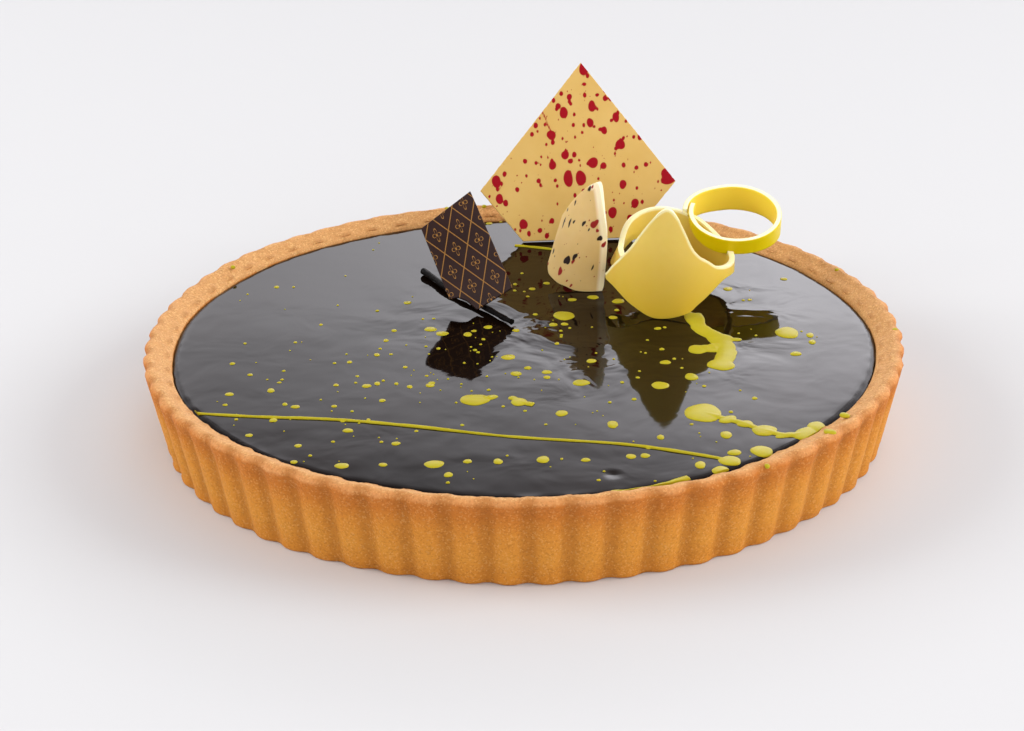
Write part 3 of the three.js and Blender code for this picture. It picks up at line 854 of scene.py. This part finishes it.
# The large curl, and the ring hooked over its rim, in millimetres
CURL_RADIUS = 25
CURL_INNER_RADIUS = 20
CURL_MIDDLE = (57.3, 41.5)
CURL_THICKNESS = 2.1
CURL_UPPER = [(-88, 9.8), (-75, 13), (-45, 25.1), (-7.5, 44), (17.5, 27), (32, 21.7), (47, 17.8), (78, 16),
              (118, 18), (152, 24.4), (185, 27.5), (217, 25.6), (250, 21), (285, 18.5)]
CURL_LOWER = [(-86, 8.2), (-63, 8.3), (-38, 3.6), (-16, 0), (11, 1.8), (23.6, 5.5), (48.8, 11.7), (71, 11.6),
              (90, 9.5), (125, 6.5), (180, 8), (215, 16.5), (250, 10.5), (285, 9.5)]
CURL_SHADE = (32 * MM, 62 * MM)
RING_RADIUS = 18.2
RING_THICKNESS = 1.9
RING_TILT = 14
RING_MIDDLE = (84.2, 62, 52.2)
RING_TURNS = [-112, -85, -60, -30, 0, 40, 80, 120, 160, 200, 240, 262]
RING_ROOM = 0.35


def curl_radius_at(turn, height):
    turn = turn % 360 if turn < -100 else turn
    tuck = float(smoothstep(turn, 190, 262))
    flare = float(smoothstep(turn, 205, 240) * (1 - smoothstep(turn, 246, 272)))
    below = min(max((19 - height) / 10, 0), 1)
    return CURL_RADIUS + tuck * (CURL_INNER_RADIUS - CURL_RADIUS) + 4.5 * flare * below


def ring_radius_at(turn, height):
    return RING_RADIUS + 2.4 * float(smoothstep(turn, 190, 250))


def ring_ribbon(grow):
    """The ring, thicker and wider all round by this much."""
    def half(turn):
        return 4.3 - 1.2 * math.cos(math.radians(turn))

    def tip(turn):
        return 1.6 * half(turn) * float(smoothstep(-turn, 25, 112))

    lower = [(t, -half(t) + tip(t) - grow) for t in RING_TURNS]
    upper = [(t, half(t) + grow) for t in RING_TURNS]
    return rolled_ribbon("ring", lower, upper, 190, 10, RING_THICKNESS + 2 * grow,
                         lambda turn, height: ring_radius_at(turn, height) + grow)


def hung(ring):
    """Tilts the ring and hangs it over the curl's rim."""
    across, deep, up = points_of(ring).T
    set_points(ring, np.column_stack([across, *rotated(deep, up, RING_TILT)]))
    moved(ring, *RING_MIDDLE)


def yellow_ring():
    piece = ring_ribbon(0)
    radius, turn = from_front(points_of(piece) / MM)
    turned_on = np.where(turn < -60, turn + 360, turn)
    outer = np.array([ring_radius_at(t, 0) for t in turned_on])
    far = np.abs(radius - outer + RING_THICKNESS / 2) > RING_THICKNESS * 0.62
    add_depth(piece, radius, np.where(far, RING_RADIUS, outer), RING_THICKNESS)
    add_attribute(piece, "from_edge", np.full(len(radius), 9.0))
    hung(piece)
    smooth(piece, 45)
    finish, tree, shader, colour = chocolate_finish(
        "yellow_chocolate", srgb(214, 190, 2), srgb(222, 200, 8), depth=0.002)
    # The golden yellow of the hollow side is painted light: the glow of light bounced round inside the ring
    feed(edged(tree, colour, srgb(250, 246, 206), srgb(242, 216, 72), 0.4), shader.inputs["Base Color"])
    return finish_piece(piece, "yellow_ring_set", finish, "yellow_chocolate", "yellow_ring")


def large_curl():
    piece = rolled_ribbon("curl", CURL_LOWER, CURL_UPPER, 260, 40, CURL_THICKNESS, curl_radius_at)
    points = points_of(piece) / MM
    height = points[:, 2]
    radius, turn = from_front(points)
    first = np.array([curl_radius_at(t, h) for t, h in zip(turn, height)])
    # The inner end runs on behind the front part, a full turn further
    other = np.array([curl_radius_at(t + 360, h) if t < -60 else 99 for t, h in zip(turn, height)])
    outer = np.where(np.abs(radius - first + 1) < np.abs(radius - other + 1), first, other)
    add_depth(piece, radius, outer, CURL_THICKNESS)
    add_attribute(piece, "from_edge", np.minimum(*[
        from_line(CURL_UPPER, turn + round_again, height, CURL_RADIUS) for round_again in (0, 360)]))
    moved(piece, *CURL_MIDDLE, REST_LEVEL / MM)
    # A notch with room for the ring
    room = ring_ribbon(RING_ROOM)
    hung(room)
    apply_modifier(piece, "BOOLEAN", operation="DIFFERENCE", object=room, solver="EXACT", use_self=True)
    bpy.data.objects.remove(room)
    tidy_mesh(piece, 0.000005)
    smooth(piece, 45)
    finish, tree, shader, colour = chocolate_finish("white_chocolate", srgb(232, 204, 96), srgb(238, 212, 112))
    # Deeper yellow low down, where the curl is in its own shade
    rise = stretched(tree, parts_of(tree, object_place(tree))["Z"], *CURL_SHADE)
    colour = mixed(tree, rise, srgb(216, 180, 52), colour)
    feed(edged(tree, colour, srgb(246, 234, 182), band=0.9), shader.inputs["Base Color"])
    return finish_piece(piece, "large_curl_set", finish, "white_chocolate", "large_curl")


# Set chocolate: the flat pieces

def stood_up(piece, lean, turn, x, y, z):
    """Stands a piece, drawn flat with its front up, on its foot: leaning back and turned a little."""
    across, up, out = points_of(piece).T
    back, rise = rotated(up, out, 90 - lean)
    set_points(piece, np.column_stack([*rotated(across, back, turn), rise]))
    moved(piece, x, y, z)


PLATE_OUTLINE = [(1.2, 0), (45.4, 0), (65.4, 22.6), (27.9, 73), (-15.7, 21.5)]
PLATE_THICKNESS = 2.2
PLATE_LEAN = 23.7
# The larger red splashes on the plate: across, up, half width, half height in millimetres
PLATE_SPLASHES = [
    (29, 70.3, 2, 2.6), (30.5, 67.4, 0.8, 1), (29, 64, 0.9, 0.8), (19.3, 60.4, 0.8, 1.1),
    (22.6, 58.9, 1.1, 1.4), (29, 59.5, 0.8, 1.1), (37.6, 61.2, 1, 1.2), (40, 58.1, 1.3, 1.6),
    (37.4, 57.8, 1, 1.2), (16, 57.7, 0.8, 1.1), (17.8, 55.3, 1.1, 1.3), (20, 52.5, 1.8, 2.3),
    (31.8, 54.8, 1.6, 2.3), (30.8, 48, 1.4, 2), (41.6, 49.9, 1.4, 2.1), (36.5, 44.6, 1.3, 1.6),
    (23.8, 47.3, 0.7, 1), (12, 47.8, 0.6, 0.8), (8.2, 47.6, 1, 1.2), (6.5, 44, 0.8, 1.1),
    (15, 40.4, 0.9, 1.1), (43, 38.6, 2.1, 2), (51.3, 41.5, 1.1, 1.5), (61.8, 30.6, 0.8, 1.3),
    (19.9, 35, 1.6, 1.9), (23.7, 35, 1, 1.2), (14.5, 31, 1.6, 1.9), (3.2, 33, 0.9, 1.1),
    (31.3, 31.4, 2.1, 2.3), (35.6, 30, 1.3, 1.5), (44, 30, 0.9, 1.1), (53.3, 29.9, 0.9, 1.1),
    (-5.5, 28, 0.9, 1.2), (-9, 25, 1.9, 2.6), (8.5, 24.7, 0.9, 1.1), (20.8, 25.2, 2, 3.4),
    (26, 25.2, 2.1, 3.3), (43.4, 22, 1.5, 1.9), (62.2, 23.2, 3.2, 1.8), (-0.5, 21.4, 0.9, 1.1),
    (-8, 17.8, 1.6, 2.1), (-5.5, 16, 1.1, 1.4), (27, 20, 1, 0.8), (48.1, 14, 1.6, 2),
    (38.6, 10.5, 1.8, 2.4), (46, 7.6, 1.5, 1.9), (37.6, 3.6, 0.9, 1.3), (1.5, 7, 1.7, 2.2),
    (13.4, 8, 1, 1.2), (8.2, 4.2, 1, 1.1), (11, 1.9, 1, 1.2), (14.5, 43.4, 1.9, 2), (22, 32.4, 1.1, 1.1),
    (61.4, 25.8, 2, 2.2), (64.2, 24.4, 2.4, 2.1), (66.2, 29.4, 0.7, 0.9)]
PLATE_SPOTS = 320


def sides_of(outline):
    """The sides of a closed outline, each from one corner to the next."""
    return zip(outline, outline[1:] + outline[:1])


def inside_outline(x, y, outline):
    """Whether a point is inside a convex outline that runs the other way from a clock."""
    return all((x1 - x0) * (y - y0) >= (y1 - y0) * (x - x0) for (x0, y0), (x1, y1) in sides_of(outline))


def splattered_plate():
    clear_selection()
    wide, high = 82, 74
    bpy.ops.mesh.primitive_grid_add(x_subdivisions=140, y_subdivisions=126, size=2)
    piece = bpy.context.object
    across, up, flat = points_of(piece).T
    set_points(piece, np.column_stack([across * wide / 2 + 24.8, up * high / 2 + 36.6, flat * 0]) * MM)
    bpy.ops.object.mode_set(mode="EDIT")
    for (x0, y0), (x1, y1) in sides_of(PLATE_OUTLINE):
        bpy.ops.mesh.select_all(action="SELECT")
        side = Vector((y1 - y0, x0 - x1, 0)).normalized()
        bpy.ops.mesh.bisect(plane_co=(x0 * MM, y0 * MM, 0), plane_no=side, clear_outer=True)
    bpy.ops.object.mode_set(mode="OBJECT")
    apply_modifier(piece, "SOLIDIFY", thickness=PLATE_THICKNESS * MM, offset=-1)
    rounded_edges(piece, 0.3)
    tidy_mesh(piece, 0.000005)
    points = points_of(piece) / MM
    draw = random.Random(21)
    streak = [(11 + 0.45 * i, 53.8 - 1.2 * i, 0.3, 0.8) for i in range(8)]
    spots = PLATE_SPLASHES + streak
    while len(spots) < PLATE_SPOTS:
        x, y = draw.uniform(-15, 65), draw.uniform(0, 72)
        size = 0.18 + 0.75 * draw.random() ** 3
        if inside_outline(x, y, PLATE_OUTLINE):
            spots.append((x, y, size * draw.uniform(0.7, 1), size * draw.uniform(0.9, 1.4)))
    add_attribute(piece, "red", spots_field(points[:, 0], points[:, 1], spots, 6, 0.05))
    for point in points:
        point[2] += 0.12 * noise.noise(Vector((point[0] * 0.05, point[1] * 0.05, 1)))
    set_points(piece, points * MM)
    foot = PLATE_THICKNESS * math.sin(math.radians(PLATE_LEAN))
    stood_up(piece, PLATE_LEAN, 3.6, 0, 100, REST_LEVEL / MM + foot)
    smooth(piece, 45)
    finish, tree, shader, colour = chocolate_finish(
        "white_chocolate_splattered", srgb(213, 173, 95), srgb(219, 182, 106), depth=0.0016)
    set_inputs(shader, {
        "Base Color": spotted(tree, colour, "red", srgb(158, 0, 20), 0.0001),
        "Subsurface Weight": 0.12, "Specular IOR Level": 0.12})
    return finish_piece(piece, "splattered_plate_set", finish, "white_chocolate_splattered", "splattered_plate")


PLAQUE_OUTLINE = [(-17.4, 0), (-3.6, 8.5), (-19.4, 47), (-38.5, 32.4), (-27.8, 4.3), (-24.5, 5), (-21.2, 3.6)]
PLAQUE_THICKNESS = 1.9
PLAQUE_LEAN = 35

# The gold pattern: its slant in degrees and the width of a field in millimetres, and the widths of
# its lines and sizes of its flowers as shares of a field
PATTERN_SLANT = -22
FIELD_WIDTH = 9.5
LATTICE_LINE, PETAL_LINE = 0.021, 0.02
PETAL_LENGTH, HEART_RADIUS = 0.24, 0.05


def gold_pattern(tree, base):
    """Thin gold lines crossing as a slanted lattice, with a small four-petalled flower in each field."""
    def from_middle(value):
        """Distance from the middle of a field, 0 to 0.5."""
        return maths(tree, "ABSOLUTE", maths(tree, "SUBTRACT", maths(tree, "FRACT", value), 0.5))

    place = parts_of(tree, node(tree, "ShaderNodeUVMap", uv_map="pattern").outputs["UV"])
    du, dv = from_middle(place["X"]), from_middle(place["Y"])
    lattice = maths(tree, "MAXIMUM", *[
        maths(tree, "LESS_THAN", maths(tree, "SUBTRACT", 0.5, away), LATTICE_LINE) for away in (du, dv)])
    squares = [maths(tree, "MULTIPLY", away, away) for away in (du, dv)]
    radius = maths(tree, "SQRT", maths(tree, "ADD", *squares))
    angle = maths(tree, "ARCTAN2", dv, du)
    wave = maths(tree, "ABSOLUTE", maths(tree, "SINE", maths(tree, "MULTIPLY", angle, 2.0)))
    petals = maths(tree, "SUBTRACT", radius, maths(tree, "MULTIPLY", wave, PETAL_LENGTH))
    flower = maths(tree, "LESS_THAN", maths(tree, "ABSOLUTE", petals), PETAL_LINE)
    heart = maths(tree, "LESS_THAN", radius, HEART_RADIUS)
    drawn = maths(tree, "MAXIMUM", lattice, maths(tree, "MAXIMUM", flower, heart))
    return mixed(tree, maths(tree, "MULTIPLY", drawn, 0.9), base, srgb(158, 112, 52))


def dark_plaque():
    clear_selection()
    bpy.ops.mesh.primitive_circle_add(vertices=len(PLAQUE_OUTLINE), radius=1, fill_type="NGON")
    piece = bpy.context.object
    set_points(piece, [(x * MM, y * MM, 0) for x, y in PLAQUE_OUTLINE])
    apply_modifier(piece, "SOLIDIFY", thickness=PLAQUE_THICKNESS * MM, offset=-1)
    points = points_of(piece)
    points[:, 2] -= points[:, 2].max()
    set_points(piece, points)
    rounded_edges(piece, 0.25, 3)
    tidy_mesh(piece, 0.000001)
    layer = piece.data.uv_layers.new(name="pattern")
    for loop in piece.data.loops:
        x, y, _ = piece.data.vertices[loop.vertex_index].co / MM
        across, up = rotated(x, y, PATTERN_SLANT)
        layer.data[loop.index].uv = ((across + 0.6 * up) / FIELD_WIDTH, (across - 0.6 * up) / FIELD_WIDTH)
    foot = PLAQUE_THICKNESS * math.sin(math.radians(PLAQUE_LEAN))
    stood_up(piece, PLAQUE_LEAN, 0, 0, 24.6, REST_LEVEL / MM + foot + 0.7)
    smooth(piece, 30)
    finish, tree, shader, colour = chocolate_finish(
        "dark_chocolate_printed", srgb(40, 22, 18), srgb(48, 28, 24), roughness=0.42, depth=0.0005)
    set_inputs(shader, {"Base Color": gold_pattern(tree, colour), "Subsurface Weight": 0.05})
    return finish_piece(piece, "dark_plaque_set", finish, "dark_chocolate_printed", "dark_plaque")


POD_LINE = [(-39.1, 66.9), (-33.9, 57.5), (-28.4, 46.7), (-20.6, 36.2), (-12.9, 25.9), (-8, 18.6), (-4.1, 13.2)]
POD_RADIUS = 1.02 * MM
POD_LEVEL = REST_LEVEL + 1.3 * MM
POD_STEPS = 110


def vanilla_pod():
    """A dried pod: thicker at its ends, lumpy, with creases along it."""
    places, radii = [], []
    for i in range(POD_STEPS + 1):
        share = i / POD_STEPS
        x, y = on_curve(POD_LINE, share) * MM
        places.append((x, y, POD_LEVEL))
        ends = 0.35 * abs(2 * share - 1) ** 10
        radii.append(POD_RADIUS * (1 + ends + 0.16 * math.sin(11 * share) + 0.1 * math.sin(31 * share)))
    piece = rod(places, radii, "pod", sides=8)
    tidy_mesh(piece, 0.000001)
    points = points_of(piece)
    middle = np.array(places)[:, :2]
    for i, point in enumerate(points):
        nearest = middle[np.argmin(np.hypot(*(middle - point[:2]).T))]
        away = Vector((point[0] - nearest[0], point[1] - nearest[1], point[2] - POD_LEVEL))
        if away.length > 0.3 * MM:
            side = math.atan2(away.z, away.x)
            crease = noise.noise(Vector((side * 1.3, point[1] * 60, 0)))
            crease += 0.5 * noise.noise(Vector(point) * 1500)
            points[i] += np.array(away.normalized() * crease * 0.22 * MM)
    points[:, 2] = np.maximum(points[:, 2], REST_LEVEL - 0.05 * MM)
    set_points(piece, points)
    smooth(piece, 60)
    finish, tree, shader = new_finish("vanilla_pod")
    _, fine = mottling(tree, 120, 900)
    set_inputs(shader, {
        "Base Color": ramp(tree, fine, [(0.35, srgb(4, 3, 3)), (0.7, srgb(16, 11, 9))]),
        "Roughness": 0.55, "Specular IOR Level": 0.1, "Normal": bump(tree, fine, 0.6, 0.0005)})
    return finish_piece(piece, "vanilla_pod_dried", finish, "vanilla_pod", "vanilla_pod")


# Camera, floor and light

CAMERA_DISTANCE = 840 * MM
CAMERA_ELEVATION = math.radians(23.85)
CAMERA_TARGET = Vector((-4.3 * MM, 0, 19.0 * MM))
CAMERA_ROLL = math.radians(-0.86)
SENSOR_WIDTH = 36
LENS = 36 * 2243.4 / 1024


def camera():
    """A long lens about 0.85 m away, looking a little down at the front of the tart."""
    forward = Vector((0, math.cos(CAMERA_ELEVATION), -math.sin(CAMERA_ELEVATION)))
    across = Vector((1, 0, 0))
    right = math.cos(CAMERA_ROLL) * across + math.sin(CAMERA_ROLL) * across.cross(forward)
    data = bpy.data.cameras.new("view")
    data.sensor_width = SENSOR_WIDTH
    data.lens = LENS
    data.clip_start = 0.01
    data.clip_end = 50
    made = bpy.data.objects.new("view", data)
    made.matrix_world = Matrix((right, right.cross(forward), -forward)).transposed().to_4x4()
    made.location = CAMERA_TARGET - CAMERA_DISTANCE * forward
    bpy.context.scene.collection.objects.link(made)
    bpy.context.scene.camera = made


# Lamps: name, place, size in metres, power
LIGHTS = [("key", (2.2, -0.1, 1.3), 1.3, 33), ("fill", (-2.2, 0.1, 1.2), 1.3, 33),
          ("front", (0.4, -2.4, 1.1), 1.5, 11.5)]

# Brightness of the surroundings: by the sine of the height over the horizon, from left to right
# and from front to back
SKY_STRENGTH = 4.2
SKY_BY_HEIGHT = [(0, 0.4), (0.25, 0.7), (0.3, 1.22), (0.375, 1.5), (0.42, 1.05), (0.46, 0.38), (0.55, 0.19),
                 (1, 0.29)]
SKY_TO_RIGHT = [(0, 0.5), (0.44, 0.42), (0.5, 0.6), (0.56, 1), (0.7, 0.8), (1, 0.6)]
SKY_TO_BACK = [(0, 0.6), (0.5, 0.8), (1, 1)]
FLOOR_GREY = 0.655


def sky_stops(stops):
    """Stops of brightness as stops of a very slightly cool grey."""
    return [(at, (value, value * 0.995, value * 1.008, 1)) for at, value in stops]


def studio():
    """A pale floor, a bright band above the horizon with a darker sky over it, and three soft lamps
    that light the tart but aren't mirrored in it."""
    clear_selection()
    bpy.ops.mesh.primitive_plane_add(size=12, location=(0, 0, 0))
    floor = bpy.context.object
    floor.name = "floor"
    finish, tree, shader = new_finish("floor")
    set_inputs(shader, {"Base Color": grey(FLOOR_GREY), "Roughness": 0.9, "Specular IOR Level": 0.1})
    floor.data.materials.append(finish)
    scene = bpy.context.scene
    scene.world = bpy.data.worlds.new("studio")
    scene.world.use_nodes = True
    tree = scene.world.node_tree
    tree.nodes.clear()
    place = parts_of(tree, node(tree, "ShaderNodeTexCoord").outputs["Generated"])
    light = ramp(tree, place["Z"], sky_stops(SKY_BY_HEIGHT))
    for axis, stops in (("X", SKY_TO_RIGHT), ("Y", SKY_TO_BACK)):
        share = maths(tree, "MULTIPLY", maths(tree, "ADD", place[axis], 1.0), 0.5)
        light = mixed(tree, 1.0, light, ramp(tree, share, sky_stops(stops)), "MULTIPLY")
    sky = node(tree, "ShaderNodeBackground", {"Color": light, "Strength": SKY_STRENGTH})
    node(tree, "ShaderNodeOutputWorld", {"Surface": sky.outputs["Background"]})
    for name, at, size, power in LIGHTS:
        light = bpy.data.lights.new(name, "AREA")
        light.size = size
        light.energy = power
        lamp = bpy.data.objects.new(name, light)
        lamp.location = at
        lamp.visible_glossy = False
        lamp.rotation_euler = (Vector((0, 0, 30 * MM)) - Vector(at)).to_track_quat("-Z", "Y").to_euler()
        scene.collection.objects.link(lamp)
    scene.view_settings.view_transform = "Standard"
    scene.view_settings.look = "None"


camera()
crust()
filling()
green_splashes()
splattered_plate()
speckled_leaf()
large_curl()
yellow_ring()
dark_plaque()
vanilla_pod()
studio()
